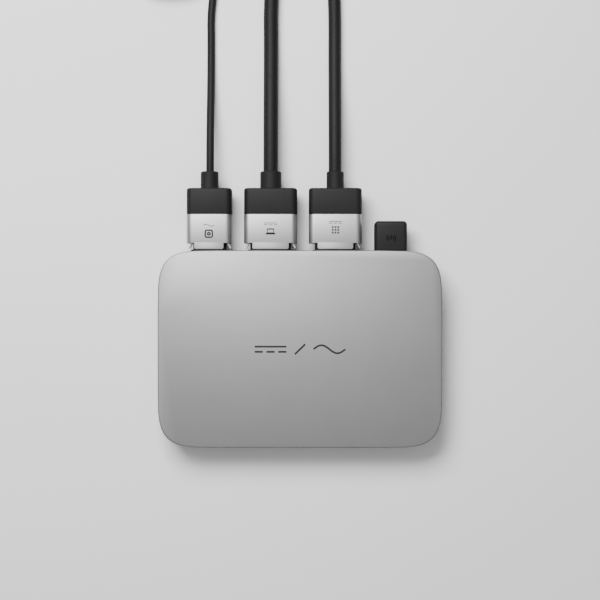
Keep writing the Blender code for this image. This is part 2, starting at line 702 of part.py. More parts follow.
def make_coil(name, coil, diameter, guide):
    """The outer shape of a cord's whole turns: a ring with a soft-cornered section."""
    section = rounded_rectangle(coil.across * diameter, coil.layers * diameter, diameter * 0.4, 1)
    rings = []
    for side in range(COIL_SIDES):
        turn = 2 * math.pi * side / COIL_SIDES
        out = Vector((math.cos(turn), math.sin(turn), 0))
        middle = Vector((coil.x, coil.y, coil.layers * diameter / 2)) + out * coil.radius
        rings.append([middle + out * a + Vector((0, 0, b)) for a, b in section])
    return node(name, lofted(rings, around=True), BLACK_RUBBER, guide, guide.location)


def on_coil(coil, degrees, radius, height):
    """A point round a coil, from where its cord comes in and on in the way that the cord turns."""
    turn = math.radians(degrees)
    return Vector((coil.x + coil.hand * radius * math.cos(turn), coil.y + radius * math.sin(turn), height))


def facing(point, direction):
    """A place whose local Z points along direction, with local Y as near to upright as it goes."""
    forward = Vector(direction).normalized()
    across = Vector((0, 0, 1)).cross(forward).normalized()
    upright = forward.cross(across)
    turn = Matrix((across, upright, forward)).transposed().to_4x4()
    return Matrix.Translation(point) @ turn


def swept(points, radius, sides=8):
    """A round bar through points."""
    rings = []
    for i, point in enumerate(points):
        ahead = points[min(i + 1, len(points) - 1)] - points[max(i - 1, 0)]
        place = facing(point, ahead)
        ring = []
        for side in range(sides):
            turn = 2 * math.pi * side / sides
            ring.append(place @ Vector((radius * math.cos(turn), radius * math.sin(turn), 0)))
        rings.append(ring)
    return lofted(rings)


def sections(steps, place, radius):
    """A solid through (distance, width, height) sections with round corners, along a place's local Z."""
    rings = []
    for distance, width, height in steps:
        outline = rounded_rectangle(width, height, radius, 2)
        rings.append([place @ Vector((a, b, distance)) for a, b in outline])
    return lofted(rings)


def make_cords(guides):
    """Each plug's cord, the coil that its length is wound into, and what is on its end."""
    for name, coil in COILS.items():
        diameter = PLUGS[name].cord
        make_tube(f"{name}_cord", ROUTES[name], diameter, guides[name])
        ring = make_coil(f"{name}_coil", coil, diameter, guides[name])
        top = [on_coil(coil, *point) for point in TOPS[name]]
        boolean(ring, swept(smooth_route(top, diameter * ROUTE_STEP), diameter / 2), "UNION")
    make_mains_plug(guides["ac"])
    make_battery_connector(guides["battery"])
    make_solar_end(guides["solar"])


def make_mains_plug(guide):
    """A round plug with two pins, lying on the coil on its tapered side."""
    tail = on_coil(COILS["ac"], 66.5, 0.0395, 0.0268)
    place = facing(tail, (-1, 0, 0.262))
    grip = [
        (0.0, 0.0052),
        (0.018, 0.0062),
        (0.021, 0.0085),
        (0.030, 0.0118),
        (0.040, 0.0155),
        (0.046, 0.0180),
        (0.0475, 0.0185),
        (0.050, 0.0180),
    ]
    plug = node("mains_plug", turned(grip, 20, place), BLACK_PLASTIC, guide, guide.location)
    pin = [(0.047, 0.0024), (0.067, 0.0024), (0.069, 0.0014)]
    pins = [turned(pin, 8, place @ Matrix.Translation((x, 0, 0))) for x in (-0.0095, 0.0095)]
    boolean(plug, merged(*pins), "UNION")


def make_battery_connector(guide):
    """A flat two-pole power connector lying on the first two turns."""
    tail = on_coil(COILS["battery"], 246.5, 0.0630, 0.0205)
    turn = math.radians(246.5 + 90)
    place = facing(tail, (math.cos(turn), math.sin(turn), 0))
    steps = [
        (0.0, 0.0140, 0.0140),
        (0.009, 0.0160, 0.0145),
        (0.013, 0.0280, 0.0150),
        (0.050, 0.0280, 0.0150),
        (0.054, 0.0240, 0.0125),
        (0.058, 0.0240, 0.0125),
    ]
    node("battery_connector", sections(steps, place, 0.0025), BLACK_PLASTIC, guide, guide.location)


def make_solar_end(guide):
    """The splitter, its two leads and their connectors, lying on the solar cord's coil."""
    coil = COILS["solar"]
    start = on_coil(coil, 0, 0.0569, 0.0174)
    steps = [
        (0.0, 0.0125, 0.0120),
        (0.006, 0.0140, 0.0120),
        (0.0180, 0.0270, 0.0120),
        (0.0286, 0.0270, 0.0120),
    ]
    splitter = sections(steps, facing(start, (0, 1, 0)), 0.003)
    node("solar_splitter", splitter, BLACK_PLASTIC, guide, guide.location)
    body = [
        (0.0, 0.0042),
        (0.005, 0.0055),
        (0.010, 0.0080),
        (0.030, 0.0080),
        (0.032, 0.0062),
        (0.052, 0.0060),
    ]
    for index, route in LEADS.items():
        points = [on_coil(coil, *point) for point in route]
        make_tube(f"solar_lead_{index}", points, LEAD_DIAMETER, guide)
        tail = points[-1] + Vector((2 * GAP, 0, 0))
        plug = turned(body, 16, facing(tail, (1, 0, 0)))
        node(f"solar_connector_{index}", plug, BLACK_PLASTIC, guide, guide.location)


def main():
    clear_scene()
    make_cover()
    make_heatsink()
    make_fasteners_and_seal()
    make_small_side_parts()
    make_inside()
    guides = {}
    for name, plug in PLUGS.items():
        guides[name] = slide_guide(f"{name}_plug_slide", plug.x)
        make_socket(name, plug)
        make_shell(name, plug, guides[name])
        make_nose(name, plug, guides[name])
        make_overmould(name, plug, guides[name])
        for side in (-1, 1):
            make_latch(name, plug, guides[name], side)
    make_cords(guides)


main()
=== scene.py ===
"""Looks of the micro inverter: bead-blasted housing, latched plugs, jacketed cords and aerial cap."""

import json
import math

import bmesh
import bpy
from mathutils import Matrix, Vector


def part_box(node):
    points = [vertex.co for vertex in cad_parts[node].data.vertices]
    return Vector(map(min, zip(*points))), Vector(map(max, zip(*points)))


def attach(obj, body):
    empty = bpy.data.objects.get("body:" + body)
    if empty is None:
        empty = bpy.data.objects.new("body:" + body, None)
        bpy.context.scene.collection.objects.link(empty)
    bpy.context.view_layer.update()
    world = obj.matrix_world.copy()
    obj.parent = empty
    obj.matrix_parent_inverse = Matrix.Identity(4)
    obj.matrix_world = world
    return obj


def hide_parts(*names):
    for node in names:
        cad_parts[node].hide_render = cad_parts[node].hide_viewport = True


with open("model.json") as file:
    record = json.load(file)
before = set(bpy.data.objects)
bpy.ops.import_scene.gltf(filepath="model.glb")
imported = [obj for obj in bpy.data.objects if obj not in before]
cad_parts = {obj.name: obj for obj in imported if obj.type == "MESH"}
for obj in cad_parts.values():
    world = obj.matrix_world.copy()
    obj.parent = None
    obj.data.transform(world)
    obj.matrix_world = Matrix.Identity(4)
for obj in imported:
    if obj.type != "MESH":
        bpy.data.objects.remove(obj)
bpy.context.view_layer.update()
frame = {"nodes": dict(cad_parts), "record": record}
nodes = frame["nodes"]

MM = 0.001
PLUGS = ("ac", "battery", "solar")
CORD_DIAMETERS = {"ac": 6.8 * MM, "battery": 12.7 * MM, "solar": 11.1 * MM}
LEAD_DIAMETER = 6.0 * MM
SPLIT_ANGLE = 35  # degrees between faces from which an edge shows crisp

FRONT_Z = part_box("front_cover")[1].z


# ---------------------------------------------------------------- shader expressions


class Link:
    """A shader socket that takes part in arithmetic; each operation adds its Math node."""

    def __init__(self, look, socket):
        self.look = look
        self.socket = socket

    def _math(self, operation, first, second):
        return self.look.node("ShaderNodeMath", {"operation": operation}, {0: first, 1: second})

    def __add__(self, other):
        return self._math("ADD", self, other)

    def __radd__(self, other):
        return self._math("ADD", other, self)

    def __sub__(self, other):
        return self._math("SUBTRACT", self, other)

    def __rsub__(self, other):
        return self._math("SUBTRACT", other, self)

    def __mul__(self, other):
        return self._math("MULTIPLY", self, other)

    def __rmul__(self, other):
        return self._math("MULTIPLY", other, self)


class Look:
    """One material: nodes are added by type, and the shader's sockets take links or numbers."""

    def __init__(self, name, roughness=0.5, metallic=0.0, **fixed):
        self.material = bpy.data.materials.new(name)
        self.material.use_nodes = True
        self.tree = self.material.node_tree
        self.shader = self.tree.nodes["Principled BSDF"]
        self.give(self.shader, {"Roughness": roughness, "Metallic": metallic, **fixed})
        self.place = self.node("ShaderNodeTexCoord", output="Object")

    def give(self, node, values):
        for key, value in values.items():
            if isinstance(value, Link):
                self.tree.links.new(value.socket, node.inputs[key])
            else:
                node.inputs[key].default_value = value

    def node(self, kind, settings=None, values=None, output=0):
        made = self.tree.nodes.new(kind)
        for key, value in (settings or {}).items():
            if key == "stops":
                ramp = made.color_ramp.elements
                while len(ramp) < len(value):
                    ramp.new(0.5)
                for stop, (at, colour) in zip(ramp, value):
                    stop.position = at
                    stop.color = colour
            else:
                setattr(made, key, value)
        self.give(made, values or {})
        return Link(self, made.outputs[output])

    def speckle(self, per_metre, detail=2.0, stretch=(1, 1, 1)):
        """Even noise from 0 to 1 whose grain has that many periods in a metre."""
        where = self.place
        if stretch != (1, 1, 1):
            where = self.node("ShaderNodeMapping", {}, {"Vector": where, "Scale": stretch})
        values = {"Vector": where, "Scale": per_metre, "Detail": detail, "Roughness": 0.6}
        return self.node("ShaderNodeTexNoise", {}, values)

    def blend(self, share, first, second):
        """A colour between two, by share."""
        values = {0: share, 6: first, 7: second}
        return self.node("ShaderNodeMix", {"data_type": "RGBA"}, values, output=2)

    def spread(self, value, low, high):
        """Stretches low..high of a value to 0..1, and stops there."""
        values = {0: value, 1: low, 2: high, 3: 0.0, 4: 1.0}
        return self.node("ShaderNodeMapRange", {"clamp": True}, values)

    def relief(self, height, depth, strength=1.0):
        """A bump of that depth in metres, fed to the shader's normal."""
        values = {"Height": height, "Distance": depth, "Strength": strength}
        self.give(self.shader, {"Normal": self.node("ShaderNodeBump", {}, values)})

    def paint(self, colour, roughness=None):
        self.give(self.shader, {"Base Color": colour})
        if roughness is not None:
            self.give(self.shader, {"Roughness": roughness})
        return self.material


def grey(value):
    return (value, value, value, 1.0)


def painted_rim_mask(look, reach=0.0006):
    """Mask of the painted edge highlight: 1 on outside edges and 0 on flat ground, from how much the
    bevelled normal turns.
    """
    plain = look.node("ShaderNodeNewGeometry", output="Normal")
    rounded = look.node("ShaderNodeBevel", {"samples": 4}, {"Radius": reach})
    cosine = look.node("ShaderNodeVectorMath", {"operation": "DOT_PRODUCT"}, {0: plain, 1: rounded}, 1)
    return look.spread(1 - cosine, 0.02, 0.3)


# ---------------------------------------------------------------- finishes


def blasted_aluminium(name, value, roughness):
    """Anodised aluminium with the fine, even sparkle that bead blasting leaves."""
    look = Look(name, metallic=1.0)
    grain = look.speckle(5200, 1.0)
    cloud = look.speckle(38, 3.0)
    tone = look.spread(grain, 0.25, 0.75) * 0.75 + look.spread(cloud, 0.3, 0.7) * 0.25
    colour = look.blend(tone, grey(value * 0.93), grey(value * 1.07))
    look.relief(grain, 0.00004, 0.35)
    return look.paint(colour, roughness - 0.05 + 0.1 * look.spread(grain, 0.3, 0.7))


def satin_shell(name, value):
    """The plugs' drawn metal sleeves: satin, with faint lines along the draw."""
    look = Look(name, metallic=1.0)
    lines = look.speckle(900, 2.0, (4.0, 0.12, 4.0))
    grain = look.speckle(4600, 1.0)
    tone = look.spread(lines, 0.35, 0.65) * 0.4 + grain * 0.6
    colour = look.blend(tone, grey(value * 0.94), grey(value * 1.06))
    look.relief(grain * 0.7 + lines * 0.3, 0.00003, 0.3)
    return look.paint(colour, 0.46 + 0.1 * lines)


def spring_strip(name):
    look = Look(name, metallic=1.0)
    lines = look.speckle(2600, 2.0, (1.0, 0.08, 1.0))
    look.relief(lines, 0.00002, 0.3)
    colour = look.blend(lines, (0.50, 0.50, 0.49, 1), (0.64, 0.64, 0.63, 1))
    return look.paint(colour, 0.2 + 0.16 * lines)


def moulded(name, value, per_metre=2600, roughness=0.5, depth=0.00005):
    """Black mouldings with a fine spark-eroded grain, a slightly smoother edge, and a painted highlight
    that lightens the outside edges.
    """
    look = Look(name, **{"Specular IOR Level": 0.18})
    grain = look.speckle(per_metre, 2.0)
    cloud = look.speckle(70, 2.0)
    painted_rim = painted_rim_mask(look)
    tone = look.spread(cloud, 0.3, 0.7) * 0.5 + grain * 0.5
    body = look.blend(tone, grey(value * 0.86), grey(value * 1.14))
    # painted highlight: the colour on the outside edges is lightened, standing in for the rim of light
    # they reflect
    colour = look.blend(painted_rim * 0.5, body, grey(value * 1.7))
    look.relief(grain, depth, 0.5)
    return look.paint(colour, roughness + 0.12 * (grain - 0.5) - 0.12 * painted_rim)


def jacket(name, value):
    """Cord jackets: extruded, so the fine marks run along the cord, with a little dust."""
    look = Look(name, **{"Specular IOR Level": 0.18})
    lines = look.speckle(1500, 2.0, (1.0, 0.05, 1.0))
    dust = look.spread(look.speckle(160, 4.0), 0.55, 0.8)
    grain = look.speckle(3800, 1.0)
    body = look.blend(lines, grey(value * 0.85), grey(value * 1.15))
    colour = look.blend(dust * 0.18, body, grey(value * 2.2))
    look.relief(lines * 0.5 + grain * 0.5, 0.00004, 0.45)
    return look.paint(colour, 0.56 + 0.14 * dust + 0.06 * (grain - 0.5))


def tinted_metal(name, low, high, roughness):
    look = Look(name, metallic=1.0)
    grain = look.speckle(1800, 3.0)
    look.relief(grain, 0.00003, 0.3)
    return look.paint(look.blend(grain, low, high), roughness + 0.15 * grain)


def circuit_board(name):
    """Green solder mask over copper tracks that run both ways."""
    look = Look(name, roughness=0.35)
    settings = {"distance": "MANHATTAN", "feature": "F1"}
    cells = look.node("ShaderNodeTexVoronoi", settings, {"Vector": look.place, "Scale": 210.0})
    tracks = look.spread(cells, 0.30, 0.34) - look.spread(cells, 0.44, 0.48)
    grain = look.speckle(700, 2.0)
    colour = look.blend(tracks, (0.012, 0.085, 0.032, 1), (0.03, 0.17, 0.07, 1))
    look.relief(tracks + 0.2 * grain, 0.00004, 0.6)
    return look.paint(colour, 0.3 + 0.15 * grain)


def moulded_colour(name, low, high, roughness):
    look = Look(name)
    grain = look.speckle(1300, 3.0)
    look.relief(grain, 0.00005, 0.4)
    return look.paint(look.blend(grain, low, high), roughness + 0.2 * grain)


def printed_ink(name, value, gloss=0.3):
    look = Look(name, **{"Specular IOR Level": gloss})
    grain = look.speckle(5200, 1.0)
    look.relief(grain, 0.00002, 0.3)
    return look.paint(look.blend(grain, grey(value * 0.85), grey(value * 1.15)), 0.48 + 0.1 * grain)


def make_finishes():
    return {
        "housing": blasted_aluminium("housing_metal", 0.315, 0.50),
        "shell": satin_shell("plug_metal", 0.42),
        "spring": spring_strip("spring_steel"),
        "screw": tinted_metal("screw_steel", grey(0.42), grey(0.60), 0.25),
        "plastic": moulded("black_plastic", 0.012),
        "overmould": moulded("plug_black", 0.012, 1800, 0.55, 0.00007),
        "seal": moulded("seal_rubber", 0.010, 1500, 0.65),
        "jacket": jacket("cord_jacket", 0.009),
        "ink": printed_ink("printed_mark", 0.012),
        "etch": printed_ink("etched_icon", 0.022),
        "faint": printed_ink("etched_current", 0.05),
        "cap_ink": printed_ink("cap_icon", 0.002, 0.02),
        "light": moulded_colour("light_pipe", (0.62, 0.68, 0.66, 1), (0.8, 0.84, 0.82, 1), 0.12),
        "brass": tinted_metal("contact_alloy", (0.62, 0.46, 0.2, 1), (0.82, 0.66, 0.36, 1), 0.18),
        "copper": tinted_metal("enamelled_wire", (0.42, 0.15, 0.06, 1), (0.62, 0.28, 0.12, 1), 0.2),
        "board": circuit_board("circuit_board"),
        "ferrite": moulded_colour("ferrite", grey(0.03), grey(0.07), 0.6),
        "film": moulded_colour("film_capacitor", (0.02, 0.06, 0.2, 1), (0.05, 0.11, 0.3, 1), 0.3),
        "relay": moulded_colour("component_black", grey(0.02), grey(0.045), 0.4),
        "filler": moulded_colour("thermal_filler", grey(0.24), grey(0.34), 0.7),
        "tin": tinted_metal("shield_metal", grey(0.5), grey(0.66), 0.28),
        "tie": moulded("tie_black", 0.007, 1300, 0.6),
    }


# ---------------------------------------------------------------- shapes


def lofted(rings, around=False):
    """A closed solid through rings of equally many points."""
    mesh = bmesh.new()
    loops = [[mesh.verts.new(point) for point in ring] for ring in rings]
    pairs = list(zip(loops, loops[1:]))
    if around:
        pairs.append((loops[-1], loops[0]))
    for low, high in pairs:
        for i in range(len(low)):
            j = (i + 1) % len(low)
            mesh.faces.new((low[i], low[j], high[j], high[i]))
    if not around:
        mesh.faces.new(list(reversed(loops[0])))
        mesh.faces.new(loops[-1])
    bmesh.ops.recalc_face_normals(mesh, faces=mesh.faces)
    return mesh


def rounded_rectangle(width, height, radius, steps=6):
    points = []
    for corner, (side_x, side_y) in enumerate(((1, 1), (-1, 1), (-1, -1), (1, -1))):
        for step in range(steps + 1):
            turn = math.pi / 2 * (corner + step / steps)
            across = side_x * (width / 2 - radius) + radius * math.cos(turn)
            up = side_y * (height / 2 - radius) + radius * math.sin(turn)
            points.append((across, up))
    return points


def sleeve_ring(width, height, radius, y, x, z, steps=6):
    """A rounded rectangle that stands across the Y direction."""
    radius = max(min(radius, width / 2 - 1e-5, height / 2 - 1e-5), 1e-5)
    return [Vector((x + a, y, z + b)) for a, b in rounded_rectangle(width, height, radius, steps)]


def turned(profile, sides, place):
    """A round solid about a place's Z through (height, radius) steps."""
    rings = []
    for height, radius in profile:
        ring = []
        for side in range(sides):
            turn = 2 * math.pi * side / sides
            ring.append(place @ Vector((radius * math.cos(turn), radius * math.sin(turn), height)))
        rings.append(ring)
    return lofted(rings)


def facing(point, direction):
    """A place whose Z points along direction, with Y as near to upright as it goes."""
    forward = Vector(direction).normalized()
    across = Vector((0, 0, 1)).cross(forward).normalized()
    upright = forward.cross(across)
    return Matrix.Translation(point) @ Matrix((across, upright, forward)).transposed().to_4x4()


def quarter_round(radius, steps):
    """(inset, rise) pairs of a quarter circle, from a side wall to the flat it meets."""
    pairs = []
    for step in range(steps + 1):
        turn = math.pi / 2 * step / steps
        pairs.append((radius * (1 - math.cos(turn)), radius * math.sin(turn)))
    return pairs


def piece(name, mesh, body, finish, sharp=SPLIT_ANGLE):
    """A finished piece that rides on a body."""
    data = bpy.data.meshes.new(name)
    mesh.to_mesh(data)
    mesh.free()
    data.materials.append(finish)
    data.shade_smooth()
    data.set_sharp_from_angle(angle=math.radians(sharp))
    made = bpy.data.objects.new(name, data)
    bpy.context.scene.collection.objects.link(made)
    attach(made, body)
    return made


def ribbon(points, width, low, high, closed=False):
    """A flat stroke of even width along points, from height low to high."""
    points = [Vector((*point, 0)) for point in points]
    last = len(points) - 1
    left, right = [], []
    for i, point in enumerate(points):
        before = points[i - 1] if i or closed else point
        after = points[(i + 1) % len(points)] if i < last or closed else point
        along = (after - before).normalized()
        side = Vector((-along.y, along.x, 0)) * width / 2
        left.append(point + side)
        right.append(point - side)
    if closed:
        up, down = Vector((0, 0, high)), Vector((0, 0, low))
        rings = [[p + down for p in left], [p + up for p in left], [p + up for p in right]]
        return lofted(rings + [[p + down for p in right]], around=True)
    outline = left + list(reversed(right))
    return lofted([[p + Vector((0, 0, z)) for p in outline] for z in (low, high)])


def joined(meshes):
    whole = bmesh.new()
    for part in meshes:
        held = bpy.data.meshes.new("held")
        part.to_mesh(held)
        part.free()
        whole.from_mesh(held)
        bpy.data.meshes.remove(held)
    return whole


# ---------------------------------------------------------------- camera, floor and light


VIEW_DISTANCE = 1.2
VIEW_WIDTH = 0.5093
VIEW_MIDDLE_Y = 0.0418
SENSOR_WIDTH = 36.0
FLOOR_HALF = 6.0
FLOOR_Z = -0.5 * MM
SOFT_BOX_PLACE = (-0.32, 0.66, 1.05)
SOFT_BOX_AIM = (-0.05, 0.1, 0)
SOFT_BOX_SIZE = (0.7, 0.6)
SOFT_BOX_WATTS = 26.0


def make_camera():
    data = bpy.data.cameras.new("camera")
    data.sensor_width = SENSOR_WIDTH
    data.lens = SENSOR_WIDTH * VIEW_DISTANCE / VIEW_WIDTH
    data.clip_end = 20.0
    made = bpy.data.objects.new("camera", data)
    bpy.context.scene.collection.objects.link(made)
    made.location = (0.0, VIEW_MIDDLE_Y, FRONT_Z + VIEW_DISTANCE)
    bpy.context.scene.camera = made


def make_floor():
    """A flat, pale floor just under the object."""
    mesh = bmesh.new()
    half = FLOOR_HALF
    ends = ((-half, -half), (half, -half), (half, half), (-half, half))
    corners = [mesh.verts.new((x, y, FLOOR_Z)) for x, y in ends]
    mesh.faces.new(corners)
    data = bpy.data.meshes.new("floor")
    mesh.to_mesh(data)
    mesh.free()
    look = Look("floor_white", roughness=0.9)
    cloud = look.speckle(3.0, 1.0)
    data.materials.append(look.paint(look.blend(cloud, grey(0.93), grey(0.95))))
    made = bpy.data.objects.new("floor", data)
    bpy.context.scene.collection.objects.link(made)


def area_light(name, place, aim, size, power):
    data = bpy.data.lights.new(name, "AREA")
    data.shape = "RECTANGLE"
    data.size, data.size_y = size
    data.energy = power
    made = bpy.data.objects.new(name, data)
    bpy.context.scene.collection.objects.link(made)
    made.location = place
    made.rotation_euler = (Vector(aim) - Vector(place)).to_track_quat("-Z", "Y").to_euler()


def make_light():
    """A soft box past the plugs and to the left, in a white surround that is brighter overhead."""
    area_light("soft_box", SOFT_BOX_PLACE, SOFT_BOX_AIM, SOFT_BOX_SIZE, SOFT_BOX_WATTS)
    world = bpy.data.worlds.new("surround")
    world.use_nodes = True
    back = world.node_tree.nodes["Background"]
    back.inputs["Color"].default_value = (1, 1, 1, 1)
    where = world.node_tree.nodes.new("ShaderNodeTexCoord").outputs["Generated"]
    height = world.node_tree.nodes.new("ShaderNodeSeparateXYZ")
    ramp = world.node_tree.nodes.new("ShaderNodeMapRange")
    ramp.inputs["From Min"].default_value = 0.55
    ramp.inputs["From Max"].default_value = 0.86
    ramp.inputs["To Min"].default_value = 0.06
    ramp.inputs["To Max"].default_value = 0.78
    world.node_tree.links.new(where, height.inputs[0])
    world.node_tree.links.new(height.outputs["Z"], ramp.inputs["Value"])
    world.node_tree.links.new(ramp.outputs["Result"], back.inputs["Strength"])
    bpy.context.scene.world = world


# ---------------------------------------------------------------- cords

ROUTES = {
    "ac": [
        (-0.0772, 0.1512, 0.0185),
        (-0.0772, 0.1700, 0.0182),
        (-0.0772, 0.1960, 0.0140),
        (-0.0772, 0.2220, 0.0077),
        (-0.0772, 0.2480, 0.0038),
        (-0.0772, 0.2720, 0.0035),
        (-0.0772, 0.2870, 0.0035),
        (-0.0755, 0.3060, 0.0035),
        (-0.0710, 0.3250, 0.0035),
    ],
    "battery": [
        (-0.0251, 0.1512, 0.0185),
        (-0.0251, 0.1720, 0.0183),
        (-0.0251, 0.2030, 0.0153),
        (-0.0251, 0.2350, 0.0097),
        (-0.0251, 0.2660, 0.0067),
        (-0.0251, 0.2950, 0.0064),
        (-0.0230, 0.3250, 0.0064),
        (-0.0162, 0.3560, 0.0064),
        (-0.0043, 0.3870, 0.0064),
        (0.0059, 0.4100, 0.0064),
        (0.01306, 0.4325, 0.0064),
    ],
    "solar": [
        (0.0301, 0.1512, 0.0185),
        (0.0301, 0.1710, 0.0183),
        (0.0301, 0.2000, 0.0148),
        (0.0301, 0.2290, 0.0089),
        (0.0301, 0.2580, 0.0059),
        (0.0301, 0.2850, 0.0056),
        (0.0292, 0.3120, 0.0056),
        (0.0269, 0.3335, 0.0056),
    ],
}

# Middle, mean radius and the way round of each coil, and its whole turns: steps out and up
COILS = {
    "ac": {"x": -0.1124, "y": 0.3580, "radius": 0.0360, "hand": 1},
    "battery": {"x": -0.0500, "y": 0.4860, "radius": 0.0635, "hand": 1},
    "solar": {"x": 0.08665, "y": 0.3765, "radius": 0.0570, "hand": -1},
}
WOUND = {
    "ac": [(1.5 - k, 0) for k in range(4)]
    + [(k - 1.5, 1) for k in range(4)]
    + [(1.5 - k, 2) for k in range(4)],
    "battery": [(0.5, 0), (-0.5, 0)],
    "solar": [(0.5, 0), (-0.5, 0)],
}
TOPS = {
    "ac": [(-60, 0.0262, 0.0172), (-36, 0.0276, 0.0200), (-11, 0.0330, 0.0230), (15, 0.0390, 0.0240)]
    + [(40, 0.0420, 0.0243), (63, 0.0402, 0.0254)],
    "battery": [(-12, 0.0575, 0.0075), (12, 0.0600, 0.0130), (36, 0.0630, 0.0180)]
    + [(angle, 0.0635, 0.0188) for angle in range(60, 241, 20)],
    "solar": [(-58, 0.0515, 0.0060), (-40, 0.0530, 0.0095), (-22, 0.0555, 0.0140), (-4, 0.0569, 0.0163)],
}
LEADS = {
    1: [(25.7, 0.0706, 0.0171), (30, 0.0724, 0.0168), (42, 0.0722, 0.0158), (55, 0.0704, 0.0168)]
    + [(67, 0.0692, 0.0188), (74.5, 0.0664, 0.0191)],
    2: [(31.3, 0.0590, 0.0171), (36.1, 0.0615, 0.0168), (47, 0.0600, 0.0158), (58, 0.0545, 0.0172)]
    + [(68, 0.0503, 0.0188), (74.5, 0.0488, 0.0191)],
}
TURN_STEPS = 28
LOWEST_TURN = 0.505  # of the diameter: height of the middle of the turn that lies on the floor
CORD_TUCK = 1.4 * MM  # how far a line's end reaches into its gland
LEAD_TUCK = 1.2 * MM
BATTERY_TAIL = 246.5  # degrees round the coil at which the connector starts
CROSSING = 60  # degrees at the end of a turn in which it steps to its next place


def on_coil(name, degrees, radius, height):
    coil = COILS[name]
    turn = math.radians(degrees)
    x = coil["x"] + coil["hand"] * radius * math.cos(turn)
    return Vector((x, coil["y"] + radius * math.sin(turn), height))


def smooth_route(points, step):
    """Points a step apart on a smooth curve through the route's own points."""
    ends = [points[0] * 2 - points[1]] + points + [points[-1] * 2 - points[-2]]
    fine = []
    for i in range(1, len(ends) - 2):
        before, start, stop, after = ends[i - 1 : i + 3]
        for part in range(24):
            t = part / 24
            bend = 2 * start + (stop - before) * t
            bend += (2 * before - 5 * start + 4 * stop - after) * t**2
            bend += (3 * start - before - 3 * stop + after) * t**3
            fine.append(bend / 2)
    fine.append(points[-1])
    total = sum((b - a).length for a, b in zip(fine, fine[1:]))
    count = max(2, round(total / step))
    made = [fine[0]]
    gone = 0.0
    for a, b in zip(fine, fine[1:]):
        gone += (b - a).length
        if gone >= total * len(made) / count and len(made) < count:
            made.append(b)
    return made + [fine[-1]]


def wound_turns(name):
    """The whole turns of a coil; each keeps its place and steps to the next one near its end."""
    diameter = CORD_DIAMETERS[name]
    radius = COILS[name]["radius"]
    places = WOUND[name]
    first_top = TOPS[name][0]
    made = []
    for number, (out, up) in enumerate(places):
        last = number == len(places) - 1
        next_out, next_up = (out, up) if last else places[number + 1]
        stop = 360 + first_top[0] - 8 if last else 360
        for step in range(TURN_STEPS):
            degrees = 360 * step / TURN_STEPS
            if degrees > stop:
                break
            share = max(0.0, (degrees - 360 + CROSSING) / CROSSING)
            share = share * share * (3 - 2 * share)
            at_radius = radius + (out + (next_out - out) * share) * diameter
            height = (LOWEST_TURN + up + (next_up - up) * share) * diameter
            made.append(on_coil(name, degrees, at_radius, height))
    return made


def cord_path(name):
    """A cord's whole line: from its gland to its coil, round the coil and up onto it."""
    diameter = CORD_DIAMETERS[name]
    start = Vector(ROUTES[name][0]) + Vector((0, -CORD_TUCK, 0))
    free = smooth_route([start] + [Vector(point) for point in ROUTES[name]], diameter * 1.1)
    top = smooth_route([on_coil(name, *point) for point in TOPS[name]], diameter * 1.1)
    return free + wound_turns(name) + top


def path_length(points):
    return sum((b - a).length for a, b in zip(points, points[1:]))


def cord_curve(name, points, diameter, body):
    """A cord as one curve with a round section and closed ends."""
    data = bpy.data.curves.new(name, "CURVE")
    data.dimensions = "3D"
    data.bevel_depth = diameter / 2
    data.bevel_resolution = 5
    data.use_fill_caps = True
    line = data.splines.new("POLY")
    line.points.add(len(points) - 1)
    for held, point in zip(line.points, points):
        held.co = (*point, 1.0)
    line.use_smooth = True
    data.materials.append(finishes["jacket"])
    made = bpy.data.objects.new(name, data)
    bpy.context.scene.collection.objects.link(made)
    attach(made, body)
    return made


def coil_tie(name, degrees, layers):
    """A strap round the bundle of turns, at one place on the coil."""
    diameter = CORD_DIAMETERS[name]
    across = {"ac": 4, "battery": 2, "solar": 2}[name] * diameter
    height = layers * diameter
    middle = on_coil(name, degrees, COILS[name]["radius"], height / 2)
    out = (on_coil(name, degrees, 1.0, 0) - on_coil(name, degrees, 0.0, 0)).normalized()
    along = Vector((0, 0, 1)).cross(out)
    corner = diameter * 0.45
    outer = rounded_rectangle(across + 2.2 * MM, height + 1.0 * MM, corner + 0.5 * MM)
    inner = rounded_rectangle(across + 0.4 * MM, height - 0.4 * MM, corner)
    rings = []
    for outline, shift in ((inner, -4), (outer, -4), (outer, 4), (inner, 4)):
        lift = Vector((0, 0, 0.6 * MM)) + along * shift * MM
        rings.append([middle + lift + out * a + Vector((0, 0, b)) for a, b in outline])
    mesh = lofted(rings, around=True)
    return piece(f"{name}_coil_tie", mesh, f"{name}_plug", finishes["tie"])


